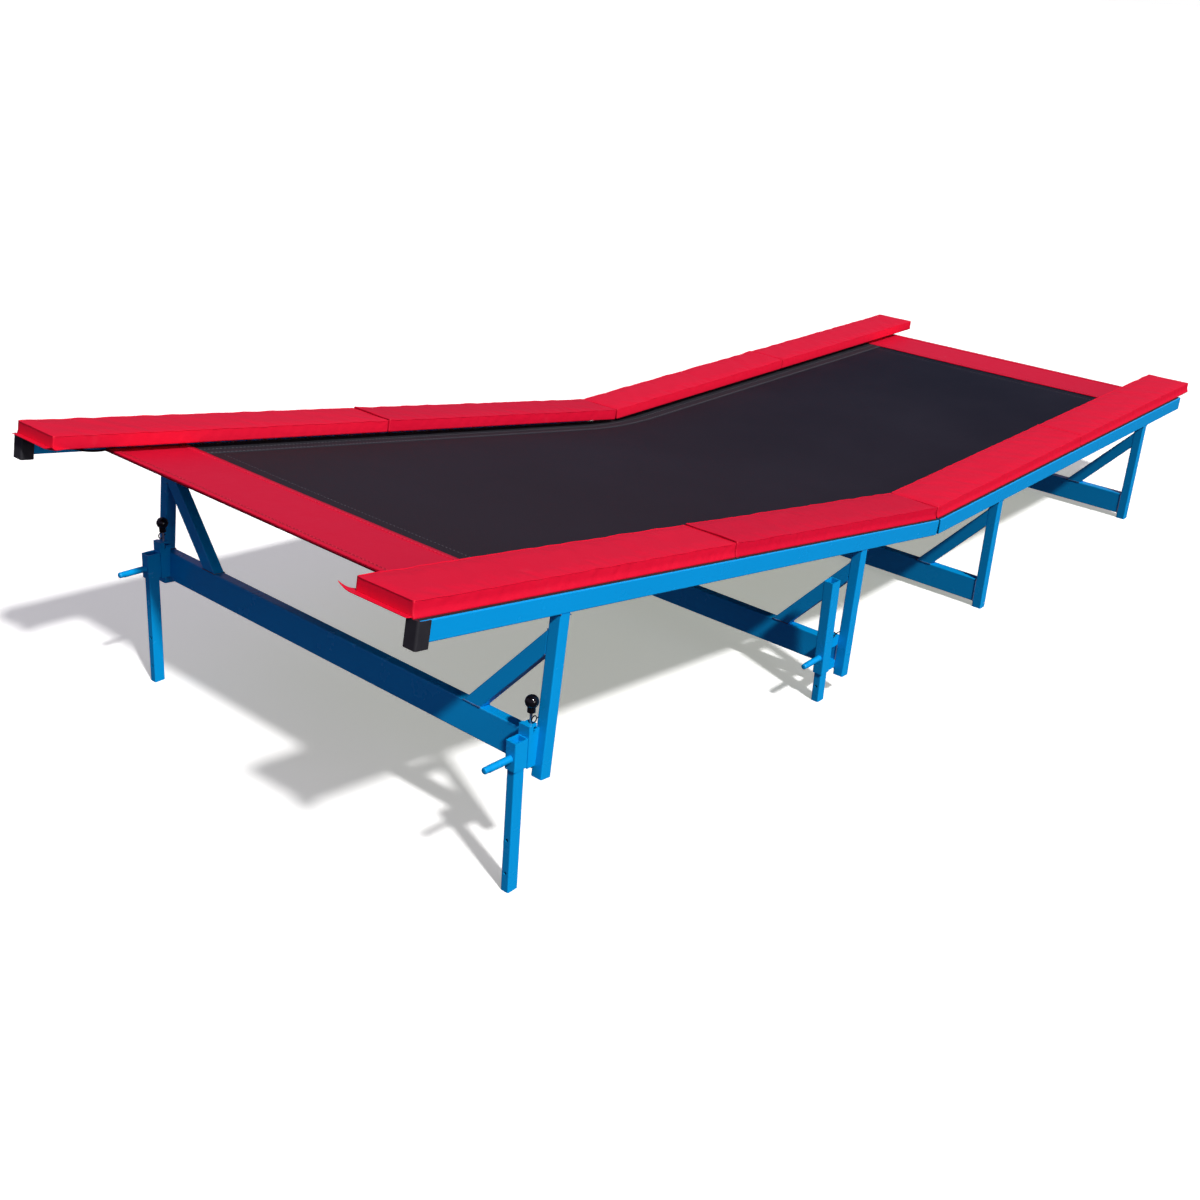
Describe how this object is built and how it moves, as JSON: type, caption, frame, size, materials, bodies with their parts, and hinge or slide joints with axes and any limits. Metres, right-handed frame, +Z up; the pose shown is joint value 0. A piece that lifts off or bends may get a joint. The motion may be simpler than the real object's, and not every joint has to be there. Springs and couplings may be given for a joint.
{
  "type": "sprung tumbling bed",
  "caption": "Two-section sprung bed with a raised ramp hinged to a level run, padded side rails, cross trestles and telescopic feet.",
  "frame": {"origin": "centre of the whole object's box, on the floor", "axes": "+X from the ramp's high end to the level end, +Y to the far side, +Z up"},
  "size_m": [5.3198, 1.857, 1.0384],
  "materials": {
    "blue_enamel": "gloss enamel on welded steel tube",
    "black_rubber": "moulded rubber",
    "hook_tape": "sewn hook tape",
    "zinc_steel": "zinc plated",
    "red_vinyl": "coated vinyl cover",
    "bed_weave": "woven nylon bed",
    "black_plastic": "moulded, glossy",
    "spring_steel": "drawn spring wire"
  },
  "bodies": {
    "level_section": {"level_rail_near": "blue_enamel", "level_rail_far": "blue_enamel", "level_end_plugs": "blue_enamel", "level_hook_tapes": "hook_tape", "level_hinge_plates": "blue_enamel", "trestle_3_legs": "blue_enamel", "trestle_3_beam": "blue_enamel", "trestle_3_braces": "blue_enamel", "trestle_4_legs": "blue_enamel", "trestle_4_beam": "blue_enamel", "trestle_4_braces": "blue_enamel", "level_pad_inner_near": "red_vinyl", "level_pad_inner_far": "red_vinyl", "level_pad_outer_near": "red_vinyl", "level_pad_outer_far": "red_vinyl", "level_bed": "bed_weave", "level_band": "red_vinyl", "level_bed_rings": "zinc_steel", "level_bed_springs": "spring_steel", "hinge_pins": "zinc_steel", "hinge_nuts": "zinc_steel"},
    "ramp_section": {"ramp_rail_near": "blue_enamel", "ramp_rail_far": "blue_enamel", "ramp_end_caps": "black_rubber", "ramp_hook_tapes": "hook_tape", "ramp_hinge_plates": "blue_enamel", "trestle_1_legs": "blue_enamel", "trestle_1_beam": "blue_enamel", "trestle_1_braces": "blue_enamel", "trestle_2_legs": "blue_enamel", "trestle_2_beam": "blue_enamel", "trestle_2_braces": "blue_enamel", "trestle_1_sleeves": "blue_enamel", "trestle_2_sleeves": "blue_enamel", "ramp_pad_inner_near": "red_vinyl", "ramp_pad_inner_far": "red_vinyl", "ramp_pad_outer_near": "red_vinyl", "ramp_pad_outer_far": "red_vinyl", "ramp_bed": "bed_weave", "ramp_band": "red_vinyl", "ramp_bed_rings": "zinc_steel", "ramp_bed_springs": "spring_steel", "plunger_housings": "blue_enamel", "plunger_springs": "spring_steel", "lock_blocks": "blue_enamel", "leg_channels": "blue_enamel", "sleeve_lugs": "blue_enamel", "retaining_clips": "black_plastic"},
    "foot_1_near": {"trestle_1_foot_near": "blue_enamel"},
    "plunger_1_near": {"plunger_pin_1_near": "black_plastic"},
    "foot_1_far": {"trestle_1_foot_far": "blue_enamel"},
    "plunger_1_far": {"plunger_pin_1_far": "black_plastic"},
    "foot_2_near": {"trestle_2_foot_near": "blue_enamel"},
    "plunger_2_near": {"plunger_pin_2_near": "black_plastic"},
    "foot_2_far": {"trestle_2_foot_far": "blue_enamel"},
    "plunger_2_far": {"plunger_pin_2_far": "black_plastic"},
    "lock_near": {"lock_rod_near": "zinc_steel", "lock_knob_near": "black_plastic"},
    "lock_far": {"lock_rod_far": "zinc_steel", "lock_knob_far": "black_plastic"}
  },
  "joints": [
    {"name": "ramp_tilt", "type": "hinge", "parent": "level_section", "child": "ramp_section", "pos_m": [0.03794, 0, 0.51], "axis": [0, 1, 0], "range_deg": [-7.5, 1]},
    {"name": "foot_1_near_slide", "type": "slide", "parent": "ramp_section", "child": "foot_1_near", "axis": [-0.0349, 0, -0.9994], "range_m": [-0.34, 0.03]},
    {"name": "plunger_1_near_pull", "type": "slide", "parent": "ramp_section", "child": "plunger_1_near", "axis": [-0.9994, 0, 0.0349], "range_m": [0, 0.012], "stiffness_N_per_m": 1500, "springref_m": -0.008, "deforming": ["plunger_springs"]},
    {"name": "foot_1_far_slide", "type": "slide", "parent": "ramp_section", "child": "foot_1_far", "axis": [-0.0349, 0, -0.9994], "range_m": [-0.34, 0.03]},
    {"name": "plunger_1_far_pull", "type": "slide", "parent": "ramp_section", "child": "plunger_1_far", "axis": [-0.9994, 0, 0.0349], "range_m": [0, 0.012], "stiffness_N_per_m": 1500, "springref_m": -0.008, "deforming": ["plunger_springs"]},
    {"name": "foot_2_near_slide", "type": "slide", "parent": "ramp_section", "child": "foot_2_near", "axis": [0, 0, -1], "range_m": [-0.07, 0.2]},
    {"name": "plunger_2_near_pull", "type": "slide", "parent": "ramp_section", "child": "plunger_2_near", "axis": [-1, 0, 0], "range_m": [0, 0.012], "stiffness_N_per_m": 1500, "springref_m": -0.008, "deforming": ["plunger_springs"]},
    {"name": "foot_2_far_slide", "type": "slide", "parent": "ramp_section", "child": "foot_2_far", "axis": [0, 0, -1], "range_m": [-0.07, 0.2]},
    {"name": "plunger_2_far_pull", "type": "slide", "parent": "ramp_section", "child": "plunger_2_far", "axis": [-1, 0, 0], "range_m": [0, 0.012], "stiffness_N_per_m": 1500, "springref_m": -0.008, "deforming": ["plunger_springs"]},
    {"name": "lock_near_lift", "type": "slide", "parent": "ramp_section", "child": "lock_near", "axis": [0.0349, 0, 0.9994], "range_m": [0, 0.04]},
    {"name": "lock_far_lift", "type": "slide", "parent": "ramp_section", "child": "lock_far", "axis": [0.0349, 0, 0.9994], "range_m": [0, 0.04]}
  ]
}
